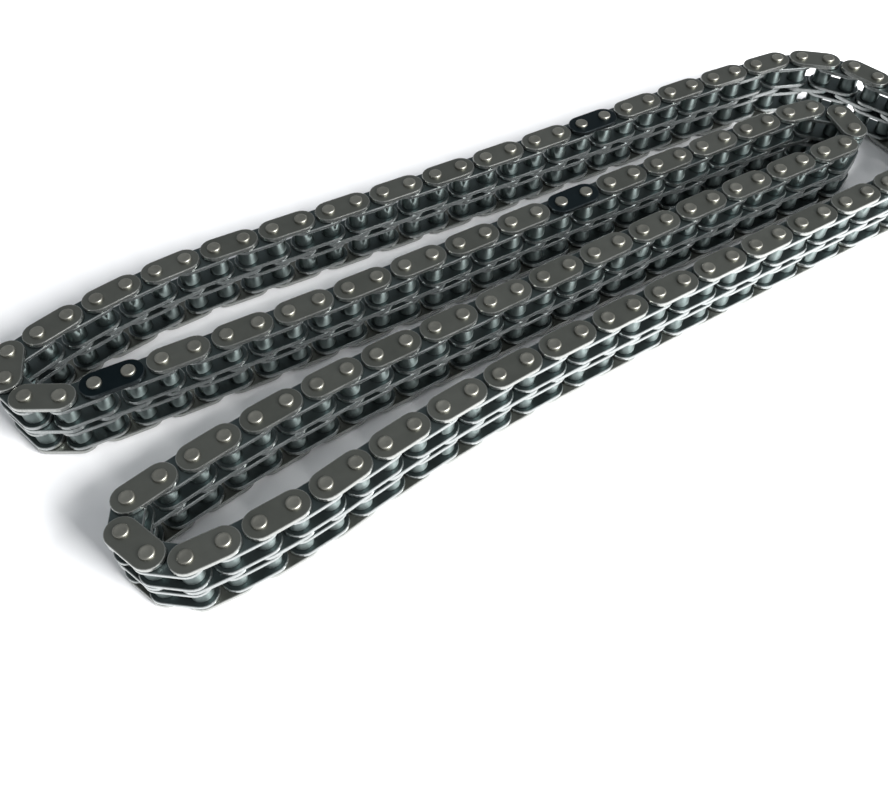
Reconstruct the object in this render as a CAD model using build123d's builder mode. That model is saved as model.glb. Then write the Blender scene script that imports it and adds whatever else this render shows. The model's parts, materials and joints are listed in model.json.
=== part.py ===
from build123d import *
import os
from math import cos, radians, sin

# Endless two-strand (duplex) roller chain of 3/8 inch pitch, lying on its side: the pins stand upright and
# the loop is folded into four strands side by side. Millimetres, +Z up along the pins, +X along the strands,
# +Y towards the far strand. The origin is under the middle of the loop, on the surface that it lies on.

# Sizes of the chain
pitch = 9.525
roller_diameter = 6.35
inner_width = 5.72
plate_height = 8.90
inner_plate_thickness = 1.30
outer_plate_thickness = 1.50
middle_plate_thickness = 1.60
pin_diameter = 3.28
bush_diameter = 4.60
pin_head_spread = 0.46
pin_head_height = 0.90
pin_head_chamfer = 0.25

# Clearances
pin_running_clearance = 0.04
roller_running_clearance = 0.06
roller_end_clearance = 0.06
bush_stand_out = 0.10
plate_side_clearance = 0.06
middle_plate_slip = 0.02

# The loop's route. Pin 0 is in the far right turn, and the pins are counted along the far strand, round the
# left turn, back along the second strand, round the inner right turn, along the third strand, round the
# front left turn and along the near strand. Each entry is a number of pins and the angle that the chain
# turns to the left over them, in degrees.
first_heading = 105.0
route = [
    (4, 69.5),
    (6, 5.0),
    (8, -2.0),
    (8, -0.5),
    (7, 21.0),
    (1, 53.0),
    (1, 38.0),
    (1, 42.0),
    (1, 26.0),
    (12, 3.5),
    (14, -1.5),
    (1, -9.0),
    (1, -36.0),
    (1, -58.0),
    (1, -49.0),
    (1, -28.0),
    (10, 3.5),
    (8, -0.5),
    (8, 10.5),
    (1, 51.0),
    (1, 49.0),
    (1, 31.0),
    (1, 35.0),
    (4, 12.5),
    (8, -8.5),
    (13, -1.5),
]
# The far right turn closes the loop: the chain leaves the near strand gently and then turns evenly. Both
# turns are solved from a first guess in degrees, by Newton's method.
closing_gentle_pins = 2
closing_links = 8
gentle_turn_guess = 0.0
even_turn_guess = 18.0
solver_step = 1e-4
solver_rounds = 20

# Link k joins pin k to pin k + 1. Even links are pin links, odd links are roller links.
far_middle_pin = 17
left_turn_pin = 34
inner_run_start = 37
front_turn_pin = 95
near_run_start = 98
near_middle_pin = 112
near_end_pin = 127
marked_links = (12, 38, 54)
# The loop is open at this pivot: its pin is left out, and its holes clear a pin of the usual size.
open_pin = 128

# Radii and levels that follow from the sizes
pin_radius = pin_diameter / 2
pin_head_radius = pin_radius + pin_head_spread
bush_radius = bush_diameter / 2
bush_bore_radius = pin_radius + pin_running_clearance
roller_radius = roller_diameter / 2
roller_bore_radius = bush_radius + roller_running_clearance
middle_hole_radius = pin_radius + middle_plate_slip
bush_length = inner_width + 2 * inner_plate_thickness + 2 * bush_stand_out
roller_length = inner_width - 2 * roller_end_clearance

bottom_plate_level = pin_head_height
lower_bush_level = bottom_plate_level + outer_plate_thickness + plate_side_clearance
middle_plate_level = lower_bush_level + bush_length + plate_side_clearance
upper_bush_level = middle_plate_level + middle_plate_thickness + plate_side_clearance
top_plate_level = upper_bush_level + bush_length + plate_side_clearance
top_face_level = top_plate_level + outer_plate_thickness
bush_levels = (lower_bush_level, upper_bush_level)


def follow(start, heading, turns):
    """Pins one pitch apart from start, in pitches, turning before each step; and the headings."""
    pins, headings = [start], []
    for turn in turns:
        heading += turn
        x, y = pins[-1]
        pins.append((x + cos(radians(heading)), y + sin(radians(heading))))
        headings.append(heading)
    return pins, headings


def closing_turns(gentle, even):
    """Turns of the links that close the loop."""
    return [gentle] * closing_gentle_pins + [even] * (closing_links - closing_gentle_pins)


def close_loop(start, heading, target):
    """The gentle and even turns that bring the closing links exactly to the target pin."""

    def miss(gentle, even):
        x, y = follow(start, heading, closing_turns(gentle, even))[0][-1]
        return x - target[0], y - target[1]

    gentle, even = gentle_turn_guess, even_turn_guess
    for _ in range(solver_rounds):
        miss_x, miss_y = miss(gentle, even)
        gentle_x, gentle_y = miss(gentle + solver_step, even)
        even_x, even_y = miss(gentle, even + solver_step)
        by_gentle = ((gentle_x - miss_x) / solver_step, (gentle_y - miss_y) / solver_step)
        by_even = ((even_x - miss_x) / solver_step, (even_y - miss_y) / solver_step)
        scale = by_gentle[0] * by_even[1] - by_even[0] * by_gentle[1]
        gentle -= (miss_x * by_even[1] - by_even[0] * miss_y) / scale
        even -= (by_gentle[0] * miss_y - miss_x * by_gentle[1]) / scale
    return gentle, even


run_turns = [0.0] + [total / pins for pins, total in route for _ in range(pins)]
run_pins, run_headings = follow((0.0, 0.0), first_heading, run_turns)
end_turns = closing_turns(*close_loop(run_pins[-1], run_headings[-1], run_pins[0]))
end_pins, end_headings = follow(run_pins[-1], run_headings[-1], end_turns)
headings = run_headings + end_headings
loose_pins = run_pins + end_pins[1:-1]
link_count = len(loose_pins)

middle_x = (min(x for x, y in loose_pins) + max(x for x, y in loose_pins)) / 2
middle_y = (min(y for x, y in loose_pins) + max(y for x, y in loose_pins)) / 2
pin_places = [(pitch * (x - middle_x), pitch * (y - middle_y)) for x, y in loose_pins]


def link_centres(links):
    """The middle of each link, turned along it."""
    centres = []
    for link in links:
        x1, y1 = pin_places[link]
        x2, y2 = pin_places[(link + 1) % link_count]
        centres.append(Location(((x1 + x2) / 2, (y1 + y2) / 2), headings[link]))
    return centres


def pins_of(links):
    """The pins at both ends of each link."""
    return [pin % link_count for link in links for pin in (link, link + 1)]


def places_of(pins):
    return [pin_places[pin] for pin in pins]


def write(piece, name):
    piece.label = name
    export_step(piece, f"parts/{name}.step")


def make_plates(name, layers, thickness, hole_radius):
    """Flat round-ended plates. Each layer is a level and the links that have a plate there."""
    with BuildPart() as plates:
        for level, links in layers:
            with BuildSketch(Plane.XY.offset(level)):
                with Locations(*link_centres(links)):
                    SlotCenterToCenter(pitch, plate_height)
                with Locations(*places_of(pins_of(links))):
                    Circle(hole_radius, mode=Mode.SUBTRACT)
                if open_pin in links:
                    with Locations(pin_places[open_pin]):
                        Circle(bush_bore_radius, mode=Mode.SUBTRACT)
            extrude(amount=thickness)
    write(plates.part, name)


def make_tubes(name, pins, levels, outer_radius, bore_radius, length):
    """Plain tubes round the pins, at each level: bushes and rollers."""
    with BuildPart() as tubes:
        for level in levels:
            with BuildSketch(Plane.XY.offset(level)):
                with Locations(*places_of(pins)):
                    Circle(outer_radius)
                    Circle(bore_radius, mode=Mode.SUBTRACT)
            extrude(amount=length)
    write(tubes.part, name)


def make_pins(name, pins):
    """Pins with a riveted head, chamfered at its rim, on both outer plates."""
    with BuildPart() as rivets:
        with BuildSketch(Plane.XY.offset(bottom_plate_level)):
            with Locations(*places_of(pins)):
                Circle(pin_radius)
        extrude(amount=top_face_level - bottom_plate_level)
        for level in (0, top_face_level):
            with BuildSketch(Plane.XY.offset(level)):
                with Locations(*places_of(pins)):
                    Circle(pin_head_radius)
            extrude(amount=pin_head_height)
        rims = rivets.edges().filter_by(GeomType.CIRCLE).group_by(Axis.Z)
        chamfer(rims[0] + rims[-1], pin_head_chamfer)
    write(rivets.part, name)


def make_pin_links(name, links):
    """Pin links: two outer plates riveted to two pins, with a middle plate between the strands."""
    marked = [link for link in links if link in marked_links]
    plain = [link for link in links if link not in marked_links]
    outer_layers = [(bottom_plate_level, links), (top_plate_level, plain)]
    make_plates(f"{name}_outer_plates", outer_layers, outer_plate_thickness, pin_radius)
    if marked:
        # A marked link has a black plate on top.
        marked_layers = [(top_plate_level, marked)]
        make_plates(f"{name}_marked_plates", marked_layers, outer_plate_thickness, pin_radius)
    middle_layers = [(middle_plate_level, links)]
    make_plates(f"{name}_middle_plates", middle_layers, middle_plate_thickness, middle_hole_radius)
    make_pins(f"{name}_pins", [pin for pin in pins_of(links) if pin != open_pin])


def make_roller_links(name, links):
    """Inner plates pressed on bushes, at both bush levels."""
    inner_layers = []
    for level in bush_levels:
        lower_plate_level = level + bush_stand_out
        upper_plate_level = lower_plate_level + inner_plate_thickness + inner_width
        inner_layers.append((lower_plate_level, links))
        inner_layers.append((upper_plate_level, links))
    make_plates(f"{name}_inner_plates", inner_layers, inner_plate_thickness, bush_radius)
    make_tubes(f"{name}_bushes", pins_of(links), bush_levels, bush_radius, bush_bore_radius, bush_length)


def make_rollers(name, pins):
    """The rollers on the bushes round each pin, one to each strand."""
    levels = [level + bush_stand_out + inner_plate_thickness + roller_end_clearance for level in bush_levels]
    make_tubes(name, pins, levels, roller_radius, roller_bore_radius, roller_length)


def make_run(name, first, end):
    """A run of links from pin first to pin end that keeps its shape."""
    links = [link % link_count for link in range(first, end)]
    roller_links = [link for link in links if link % 2 == 1]
    make_pin_links(name, [link for link in links if link % 2 == 0])
    make_roller_links(name, roller_links)
    make_rollers(f"{name}_rollers", pins_of(roller_links))


def make_hinged_link(name, link):
    """A single link that hinges at both ends, with rollers that turn if it is a roller link."""
    if link % 2 == 0:
        make_pin_links(name, [link])
    else:
        make_roller_links(name, [link])
        make_rollers(f"{name}_first_rollers", [link])
        make_rollers(f"{name}_second_rollers", [link + 1])


os.makedirs("parts", exist_ok=True)

make_run("inner_run", inner_run_start, front_turn_pin)
make_run("far_run_left", far_middle_pin, left_turn_pin)
make_run("far_run_right", open_pin + 1, link_count + far_middle_pin)
make_run("near_run_left", near_run_start, near_middle_pin)
make_run("near_run_right", near_middle_pin, near_end_pin)
for number, link in enumerate(range(left_turn_pin, inner_run_start), 1):
    make_hinged_link(f"left_turn_link_{number}", link)
for number, link in enumerate(range(front_turn_pin, near_run_start), 1):
    make_hinged_link(f"front_turn_link_{number}", link)
make_hinged_link("near_end_link", near_end_pin)
make_hinged_link("far_end_link", open_pin)
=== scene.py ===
import json
from math import atan2, cos, pi, radians, sin

import bpy
import numpy as np
from mathutils import Matrix, Vector


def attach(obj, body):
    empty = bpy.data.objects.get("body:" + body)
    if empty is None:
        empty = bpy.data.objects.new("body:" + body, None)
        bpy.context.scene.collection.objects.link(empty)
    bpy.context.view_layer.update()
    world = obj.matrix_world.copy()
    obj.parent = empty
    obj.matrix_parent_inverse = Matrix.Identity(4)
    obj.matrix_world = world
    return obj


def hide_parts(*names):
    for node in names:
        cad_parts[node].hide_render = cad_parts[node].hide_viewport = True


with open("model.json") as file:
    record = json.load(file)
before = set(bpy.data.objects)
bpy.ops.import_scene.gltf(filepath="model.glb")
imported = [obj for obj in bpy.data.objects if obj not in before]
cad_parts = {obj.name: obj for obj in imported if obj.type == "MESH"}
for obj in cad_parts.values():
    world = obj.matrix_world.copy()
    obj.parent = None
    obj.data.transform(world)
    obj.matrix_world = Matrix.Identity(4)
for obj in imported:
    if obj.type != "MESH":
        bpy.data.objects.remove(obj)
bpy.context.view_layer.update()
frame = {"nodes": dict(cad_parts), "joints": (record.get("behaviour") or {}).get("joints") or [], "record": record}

# A two-strand roller chain on its side. Every piece takes the place of the solids of one CAD node: a shape is
# modelled once, round its own upright axis or along X, and a copy of it is set where each solid stands.
# Lengths are in metres.

mm = 0.001

# Rounding and rims
plate_rim = 0.26 * mm
roller_rim = 0.30 * mm
bush_rim = 0.12 * mm
head_dome = 0.50 * mm
head_ring_depth = 0.05 * mm
head_ring_share = 0.60
head_ring_slope = 0.06
dome_steps = (pi / 6, pi / 3, pi / 2)
smooth_angle = 40
pin_smooth_angle = 50

# Tests of a place or a direction: points that are the same, corners to be welded, and how upright a face's
# normal is on a flat face, and on the steepest and flattest faces of a rounded rim
same_place = 0.01 * mm
weld_distance = 0.005 * mm
flat_normal = 0.99
steepest_rim_normal = 0.1
flattest_rim_normal = 0.97

# Share by which each copy's tone follows the last one's, so that neighbours differ
tone_step = 0.618034

# Facets
corner_facets = 6
rim_facets = 2
hole_facets = 12
round_facets = 18

# Camera, by the point it is aimed at, which is above the top plates
aim_x = -56.3 * mm
aim_y = -38.2 * mm
aim_above_plates = 0.80 * mm
camera_distance = 246.0 * mm
camera_heading = radians(29.08)
camera_depression = radians(53.30)
camera_roll = radians(-0.49)
camera_lens = 37.1

# Wear and painted highlight: the share of bright steel on every rim, which is partly wear and partly a painted
# highlight, and on every wall, and how much more there is where it is most worn
rim_wear_and_highlight = 0.12
rim_wear_and_highlight_in_clouds = 0.40
wall_wear = 0.24
wall_wear_in_marks = 0.6

# Roughness of each finish before its grain, and the depth of the relief in millimetres
plate_roughness = 0.36
pin_roughness = 0.34
bush_roughness = 0.30
roller_roughness = 0.33
plate_relief = 0.006
pin_relief = 0.008
turned_relief = 0.004

# Turned pieces stretch a highlight along their axis: how strongly, and its direction in turns
turned_stretch = 0.85
turned_direction = 0.25

# Floor and studio
floor_size = 6
studio_colour = (0.93, 0.97, 1.0, 1)
studio_strength = 0.45


# Reading the CAD model


class Solid:
    """Where a CAD solid stands and how large it is: its middle, its heading if it is long, and its levels."""

    def __init__(self, corners):
        self.low = corners[:, 2].min()
        self.high = corners[:, 2].max()
        self.middle = corners[:, :2].mean(axis=0)
        flat = corners[:, :2] - self.middle
        along = np.linalg.eigh(flat.T @ flat)[1][:, 1]
        self.heading = atan2(along[1], along[0])
        self.half_width = abs(flat @ (-along[1], along[0])).max()
        self.radius = np.hypot(*flat.T).max()

    def placing(self):
        x, y = self.middle
        return Matrix.Translation((x, y, self.low)) @ Matrix.Rotation(self.heading, 4, "Z")


def solids_of(node):
    """The separate solids of a CAD node."""
    mesh = frame["nodes"][node].data
    corners = np.empty(len(mesh.vertices) * 3, np.float32)
    mesh.vertices.foreach_get("co", corners)
    places, place_of = np.unique(corners.reshape(-1, 3), axis=0, return_inverse=True)
    mesh.calc_loop_triangles()
    triangles = np.empty(len(mesh.loop_triangles) * 3, np.int32)
    mesh.loop_triangles.foreach_get("vertices", triangles)
    triangles = place_of.ravel()[triangles].reshape(-1, 3)
    # Each place takes the lowest number in its triangles, over and over, until a whole solid has one number.
    number = np.arange(len(places))
    while True:
        lowest = number.copy()
        for side in range(3):
            np.minimum.at(lowest, triangles[:, side], number[triangles].min(axis=1))
        if (lowest == number).all():
            break
        number = lowest
    return [Solid(places[number == solid]) for solid in np.unique(number)]


def pivot(name):
    return Vector(next(joint["pos_m"] for joint in frame["joints"] if joint["name"] == name))


pitch = (pivot("left_turn_pivot_1") - pivot("left_turn_pivot_2")).length
outer_plate = solids_of("left_turn_link_1_outer_plates")[0]
middle_plate = solids_of("left_turn_link_1_middle_plates")[0]
inner_plate = solids_of("left_turn_link_2_inner_plates")[0]
pin = solids_of("left_turn_link_1_pins")[0]
bush = solids_of("left_turn_link_2_bushes")[0]
roller = solids_of("left_turn_link_2_first_rollers")[0]
connecting_pin_bore = next(m for m in frame["record"]["mounts"] if m["name"] == "connecting_pin_bore")
bore_radius = connecting_pin_bore["dims"]["r_mm"] * mm
head_height = min(solid.low for solid in solids_of("left_turn_link_1_outer_plates")) - pin.low
running_clearance = 0.04 * mm
roller_clearance = 0.06 * mm
pin_radius = bore_radius - running_clearance


# Modelling


def start_piece(name):
    piece = bpy.context.object
    piece.name = name
    bpy.ops.object.transform_apply(location=True, rotation=True, scale=True)
    return piece


def edit(kind):
    """Edit mode with nothing selected, and edges or faces to be selected."""
    bpy.ops.object.mode_set(mode="EDIT")
    bpy.ops.mesh.select_mode(type=kind)
    bpy.ops.mesh.select_all(action="DESELECT")


def select_edges(wanted):
    """Selects the edges whose two ends pass the test."""
    edit("EDGE")
    bpy.ops.object.mode_set(mode="OBJECT")
    mesh = bpy.context.object.data
    for edge in mesh.edges:
        start, end = (mesh.vertices[corner].co for corner in edge.vertices)
        edge.select = wanted(start, end)
    bpy.ops.object.mode_set(mode="EDIT")


def select_faces(wanted):
    """Selects the faces that pass the test."""
    edit("FACE")
    bpy.ops.object.mode_set(mode="OBJECT")
    for face in bpy.context.object.data.polygons:
        face.select = wanted(face)
    bpy.ops.object.mode_set(mode="EDIT")


def finish_shape(piece, angle=smooth_angle):
    bpy.ops.object.mode_set(mode="OBJECT")
    bpy.ops.object.shade_smooth_by_angle(angle=radians(angle))
    return piece


def near(a, b):
    return abs(a - b) < same_place


def make_plate(name, thickness, hole_radius):
    """A flat plate with round ends, a rounded rim and two holes, along X from the ground up."""
    width = 2 * outer_plate.half_width
    bpy.ops.mesh.primitive_cube_add(
        size=1, location=(0, 0, thickness / 2), scale=(pitch + width, width, thickness)
    )
    plate = start_piece(name)
    select_edges(lambda start, end: not near(start.z, end.z))
    bpy.ops.mesh.bevel(offset=width / 2, segments=corner_facets, affect="EDGES", clamp_overlap=False)
    bpy.ops.mesh.select_all(action="SELECT")
    bpy.ops.mesh.remove_doubles(threshold=weld_distance)
    select_edges(lambda start, end: near(start.z, end.z))
    bpy.ops.mesh.bevel(offset=plate_rim, segments=rim_facets, affect="EDGES")
    bpy.ops.object.mode_set(mode="OBJECT")
    for side in (-1, 1):
        bpy.ops.mesh.primitive_cylinder_add(
            vertices=hole_facets, radius=hole_radius, depth=3 * thickness, location=(side * pitch / 2, 0, 0)
        )
        drill = bpy.context.object
        bpy.context.view_layer.objects.active = plate
        bpy.ops.object.modifier_add(type="BOOLEAN")
        plate.modifiers["Boolean"].operation = "DIFFERENCE"
        plate.modifiers["Boolean"].object = drill
        bpy.ops.object.modifier_apply(modifier="Boolean")
        bpy.data.objects.remove(drill)
    mark(plate, "rim", lambda face: float(steepest_rim_normal < abs(face.normal.z) < flattest_rim_normal))
    mark(plate, "wall", lambda face: float(abs(face.normal.z) <= steepest_rim_normal))
    return finish_shape(plate)


def make_tube(name, outer_radius, inner_radius, length, rim):
    """An upright tube with rounded ends, from the ground up."""
    bpy.ops.mesh.primitive_cylinder_add(
        vertices=round_facets, radius=outer_radius, depth=length, location=(0, 0, length / 2)
    )
    tube = start_piece(name)
    select_edges(lambda start, end: near(start.z, end.z))
    bpy.ops.mesh.bevel(offset=rim, segments=rim_facets, affect="EDGES")
    select_faces(lambda face: abs(face.normal.z) > flat_normal)
    bpy.ops.mesh.extrude_region()
    shrink = inner_radius / (outer_radius - rim)
    bpy.ops.transform.resize(value=(shrink, shrink, 1), center_override=(0, 0, 0))
    bpy.ops.mesh.delete(type="FACE")
    select_edges(lambda start, end: near(start.xy.length, inner_radius) and near(end.xy.length, inner_radius))
    bpy.ops.mesh.bridge_edge_loops()
    return finish_shape(tube)


def make_pin(name):
    """A pin with a domed, riveted head at each end, from the ground up."""
    length = pin.high - pin.low
    shank = length - 2 * head_height
    bpy.ops.mesh.primitive_cylinder_add(
        vertices=round_facets, radius=pin_radius, depth=shank, location=(0, 0, length / 2)
    )
    rivet = start_piece(name)
    dome = [(head_height - head_dome, 1.0)]
    for step in dome_steps:
        height = head_height - head_dome * (1 - sin(step))
        dome.append((height, 1 - head_dome / pin.radius * (1 - cos(step))))
    ring = [(head_height, head_ring_share + head_ring_slope), (head_height - head_ring_depth, head_ring_share)]
    for up in (1, -1):
        shank_end = (length + up * shank) / 2
        select_faces(lambda face: face.normal.z * up > flat_normal and near(face.center.z, shank_end))
        height, radius = 0, pin_radius
        for next_height, share in [(0, 1.0)] + dome + ring:
            bpy.ops.mesh.extrude_region_move(
                TRANSFORM_OT_translate={"value": (0, 0, up * (next_height - height))}
            )
            grow = share * pin.radius / radius
            bpy.ops.transform.resize(value=(grow, grow, 1), center_override=(0, 0, 0))
            height, radius = next_height, share * pin.radius
    bpy.ops.mesh.select_all(action="SELECT")
    bpy.ops.mesh.normals_make_consistent(inside=False)
    bpy.ops.object.mode_set(mode="OBJECT")
    return finish_shape(rivet, pin_smooth_angle)


def mark(piece, name, value_of):
    """Writes a number on each face, for the finish to read."""
    attribute = piece.data.attributes.new(name, "FLOAT", "FACE")
    attribute.data.foreach_set("value", [value_of(face) for face in piece.data.polygons])


copies_made = 0


def copy_of(shape, placing):
    """A copy of a shape with its own mesh, in its place, with its own tone for the finish to read."""
    global copies_made
    copy = shape.copy()
    copy.data = shape.data.copy()
    copy.data.transform(placing)
    bpy.context.collection.objects.link(copy)
    copies_made += 1
    tone = copy.data.attributes.new("tone", "FLOAT", "POINT")
    tone.data.foreach_set("value", [copies_made * tone_step % 1] * len(copy.data.vertices))
    return copy


def joined(name, copies):
    bpy.ops.object.select_all(action="DESELECT")
    for copy in copies:
        copy.select_set(True)
    bpy.context.view_layer.objects.active = copies[0]
    bpy.ops.object.join()
    piece = bpy.context.object
    piece.name = name
    return piece


# Finishes


class Value:
    """A number that varies over a surface. Arithmetic on it adds Math nodes."""

    def __init__(self, finish, socket):
        self.finish = finish
        self.socket = socket

    def math(self, operation, first, second):
        node = self.finish.node("ShaderNodeMath", {"operation": operation}, {0: first, 1: second})
        return Value(self.finish, node.outputs[0])

    def __add__(self, other):
        return self.math("ADD", self, other)

    def __radd__(self, other):
        return self.math("ADD", other, self)

    def __sub__(self, other):
        return self.math("SUBTRACT", self, other)

    def __rsub__(self, other):
        return self.math("SUBTRACT", other, self)

    def __mul__(self, other):
        return self.math("MULTIPLY", self, other)

    def __rmul__(self, other):
        return self.math("MULTIPLY", other, self)


class Finish:
    """A material under construction."""

    def __init__(self, name):
        self.material = bpy.data.materials.new(name)
        self.material.use_nodes = True
        self.tree = self.material.node_tree
        self.shader = self.tree.nodes["Principled BSDF"]
        place = self.node("ShaderNodeTexCoord").outputs["Object"]
        scaled = self.node("ShaderNodeVectorMath", {"operation": "SCALE"}, {0: place, "Scale": 1 / mm})
        self.place = scaled.outputs[0]

    def node(self, kind, settings=None, sockets=None):
        node = self.tree.nodes.new(kind)
        for name, setting in (settings or {}).items():
            setattr(node, name, setting)
        for name, value in (sockets or {}).items():
            self.feed(node.inputs[name], value)
        return node

    def feed(self, socket, value):
        if isinstance(value, Value):
            value = value.socket
        if isinstance(value, bpy.types.NodeSocket):
            self.tree.links.new(value, socket)
        else:
            socket.default_value = value

    def set(self, **sockets):
        """Feeds the shader's sockets, with _ for a space in their names."""
        for name, value in sockets.items():
            self.feed(self.shader.inputs[name.replace("_", " ")], value)

    def noise(self, size, detail=3.0, stretch=(1, 1, 1), roughness=0.5):
        """Noise from 0 to 1. Its blotches are about size millimetres, and longer where stretch is larger."""
        scale = [1 / (size * along) for along in stretch]
        stretched = self.node("ShaderNodeVectorMath", {"operation": "MULTIPLY"}, {0: self.place, 1: scale})
        sockets = {"Vector": stretched.outputs[0], "Scale": 1.0, "Detail": detail, "Roughness": roughness}
        return Value(self, self.node("ShaderNodeTexNoise", {}, sockets).outputs["Fac"])

    def attribute(self, name):
        return Value(self, self.node("ShaderNodeAttribute", {"attribute_name": name}).outputs["Fac"])

    def mix(self, share, colour, other):
        node = self.node("ShaderNodeMix", {"data_type": "RGBA"})
        self.feed(node.inputs["Factor"], share)
        for identifier, value in (("A_Color", colour), ("B_Color", other)):
            socket = next(s for s in node.inputs if s.identifier == identifier)
            self.feed(socket, (*value, 1) if isinstance(value, tuple) else value)
        return next(s for s in node.outputs if s.identifier == "Result_Color")

    def bump(self, height, depth):
        """A relief as deep as depth millimetres where height goes from 0 to 1."""
        node = self.node("ShaderNodeBump", {}, {"Height": height, "Distance": depth * mm, "Strength": 1.0})
        self.set(Normal=node.outputs["Normal"])


def plate_finish(name, dark, light, edge):
    """Rolled and tumbled steel plate: satin faces, rims lightened partly as wear and partly as a painted
    highlight, and drawn marks down the sheared walls.
    """
    finish = Finish(name)
    cloud = finish.noise(size=5.0, detail=3)
    grain = finish.noise(size=0.16, detail=2)
    drawn = finish.noise(size=0.12, detail=2, stretch=(1, 1, 12))
    tone = finish.attribute("tone")
    rim = finish.attribute("rim")
    wall = finish.attribute("wall")
    # Rims are lightened all round: partly wear, partly a painted highlight.
    worn_and_highlit_rim = rim * (rim_wear_and_highlight + cloud * rim_wear_and_highlight_in_clouds)
    worn_wall = wall * (wall_wear + drawn * wall_wear_in_marks)
    face = finish.mix(cloud * 0.6 + tone * 0.5 + grain * 0.3 - 0.25, dark, light)
    finish.set(
        Base_Color=finish.mix(worn_and_highlit_rim + worn_wall, face, edge),
        Metallic=1.0,
        Roughness=plate_roughness + grain * 0.10 + cloud * 0.06 - rim * 0.16 - wall * 0.14,
    )
    finish.bump(grain + drawn * wall, plate_relief)
    return finish.material


def pin_finish():
    """Ground steel, riveted over: slightly brighter than the plates."""
    finish = Finish("pin_steel")
    cloud = finish.noise(size=1.2, detail=3)
    grain = finish.noise(size=0.12, detail=2)
    tone = finish.attribute("tone")
    finish.set(
        Base_Color=finish.mix(cloud * 0.7 + tone * 0.4 - 0.1, (0.185, 0.182, 0.160), (0.30, 0.296, 0.262)),
        Metallic=1.0,
        Roughness=pin_roughness + grain * 0.14,
    )
    finish.bump(grain, pin_relief)
    return finish.material


def turned_finish(name, dark, light, roughness):
    """Hardened and tumbled steel with faint turning marks round it."""
    finish = Finish(name)
    cloud = finish.noise(size=3.0, detail=3)
    turning = finish.noise(size=0.10, detail=2, stretch=(30, 30, 1))
    finish.set(
        Base_Color=finish.mix(cloud * 0.8 + turning * 0.3 - 0.05, dark, light),
        Metallic=1.0,
        Roughness=roughness + turning * 0.10 + cloud * 0.06,
        Anisotropic=turned_stretch,
        Anisotropic_Rotation=turned_direction,
    )
    finish.bump(turning, turned_relief)
    return finish.material


outer_steel = plate_finish(
    "outer_plate_steel",
    dark=(0.103, 0.108, 0.096),
    light=(0.158, 0.163, 0.147),
    edge=(0.62, 0.63, 0.61),
)
# Middle and inner plates get darker steel than the outer plates: painted shade for the inside of the chain.
middle_steel = plate_finish(
    "middle_plate_steel",
    dark=(0.046, 0.060, 0.061),
    light=(0.085, 0.103, 0.104),
    edge=(0.66, 0.68, 0.67),
)
inner_steel = plate_finish(
    "inner_plate_steel",
    dark=(0.046, 0.060, 0.061),
    light=(0.085, 0.103, 0.104),
    edge=(0.66, 0.68, 0.67),
)
marked_black = plate_finish(
    "marked_plate_black",
    dark=(0.007, 0.013, 0.016),
    light=(0.016, 0.025, 0.029),
    edge=(0.12, 0.135, 0.14),
)
pin_steel = pin_finish()
bush_steel = turned_finish(
    "bush_steel",
    dark=(0.16, 0.16, 0.16),
    light=(0.28, 0.28, 0.27),
    roughness=bush_roughness,
)
# The rollers' steel is kept dark: partly its own tone, partly painted shade for the rows deep in the chain.
roller_steel = turned_finish(
    "roller_steel",
    dark=(0.10, 0.125, 0.124),
    light=(0.19, 0.222, 0.215),
    roughness=roller_roughness,
)


# The pieces

bpy.ops.object.select_all(action="DESELECT")
plate_thickness = outer_plate.high - outer_plate.low
shapes = {
    "outer_plates": make_plate("outer_plate", plate_thickness, pin_radius),
    "marked_plates": make_plate("marked_plate", plate_thickness, pin_radius),
    "middle_plates": make_plate("middle_plate", middle_plate.high - middle_plate.low, pin_radius),
    "inner_plates": make_plate("inner_plate", inner_plate.high - inner_plate.low, bush.radius),
    "pins": make_pin("pin"),
    "bushes": make_tube("bush", bush.radius, bore_radius, bush.high - bush.low, bush_rim),
    "rollers": make_tube(
        "roller", roller.radius, bush.radius + roller_clearance, roller.high - roller.low, roller_rim
    ),
}
finishes = {
    "outer_plates": outer_steel,
    "marked_plates": marked_black,
    "middle_plates": middle_steel,
    "inner_plates": inner_steel,
    "pins": pin_steel,
    "bushes": bush_steel,
    "rollers": roller_steel,
}

for kind, shape in shapes.items():
    shape.data.materials.append(finishes[kind])

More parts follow.
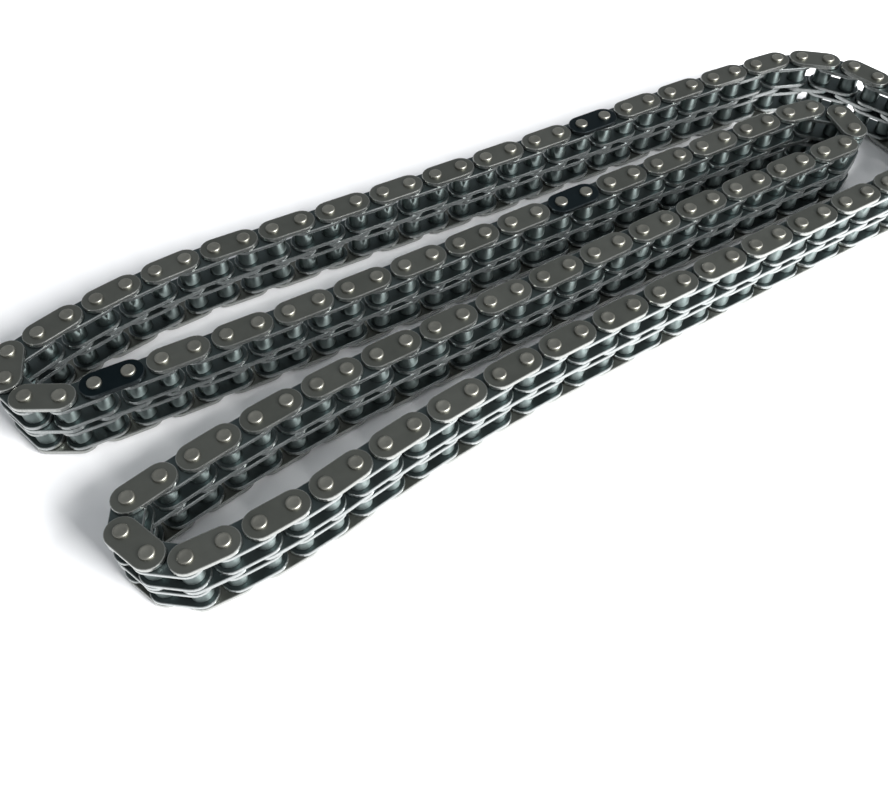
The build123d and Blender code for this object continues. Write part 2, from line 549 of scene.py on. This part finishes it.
for body, nodes in frame["record"]["behaviour"]["bodies"].items():
    for node in nodes:
        kind = next(kind for kind in shapes if node.endswith(kind))
        copies = [copy_of(shapes[kind], solid.placing()) for solid in solids_of(node)]
        piece = joined(f"{node}_finished", copies)
        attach(piece, body)
        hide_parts(node)

# The pin of the pivot where the loop is joined up
x, y, z = connecting_pin_bore["pos_m"]
connecting_pin = copy_of(shapes["pins"], Matrix.Translation((x, y, pin.low)))
connecting_pin.name = "connecting_pin"
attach(connecting_pin, "far_end_link")

for shape in shapes.values():
    bpy.data.objects.remove(shape)


# Floor, light and camera

bpy.ops.mesh.primitive_plane_add(size=floor_size)
floor = bpy.context.object
floor.name = "floor"
paper = Finish("floor_paper")
paper.set(
    Base_Color=paper.mix(paper.noise(size=60.0, detail=2), (0.90, 0.90, 0.91), (0.92, 0.92, 0.93)),
    Roughness=0.9,
)
floor.data.materials.append(paper.material)

world = bpy.data.worlds.new("studio")
bpy.context.scene.world = world
world.use_nodes = True
world.node_tree.nodes["Background"].inputs["Color"].default_value = studio_colour
world.node_tree.nodes["Background"].inputs["Strength"].default_value = studio_strength


def add_light(name, towards, distance, size, power):
    """A square soft light in a direction from the middle of the chain, turned to face it."""
    bpy.ops.object.light_add(type="AREA")
    light = bpy.context.object
    light.name = name
    light.data.size = size
    light.data.energy = power
    light.location = Vector(towards).normalized() * distance
    light.rotation_euler = Vector(towards).to_track_quat("Z", "Y").to_euler()


add_light("key", towards=(0.36, -0.87, 0.62), distance=0.9, size=0.45, power=26.0)
add_light("side_panel", towards=(0.80, -0.45, 0.35), distance=1.1, size=0.8, power=4.0)

aim_point = Vector((aim_x, aim_y, pin.high - head_height + aim_above_plates))
turn = Matrix.Rotation(-camera_heading, 4, "Z") @ Matrix.Rotation(pi / 2 - camera_depression, 4, "X")
bpy.ops.object.camera_add()
camera = bpy.context.object
camera.matrix_world = (
    Matrix.Translation(aim_point)
    @ turn
    @ Matrix.Rotation(camera_roll, 4, "Z")
    @ Matrix.Translation((0, 0, camera_distance))
)
camera.data.lens = camera_lens
camera.data.clip_start = 1 * mm
bpy.context.scene.camera = camera
bpy.context.scene.view_settings.view_transform = "Standard"
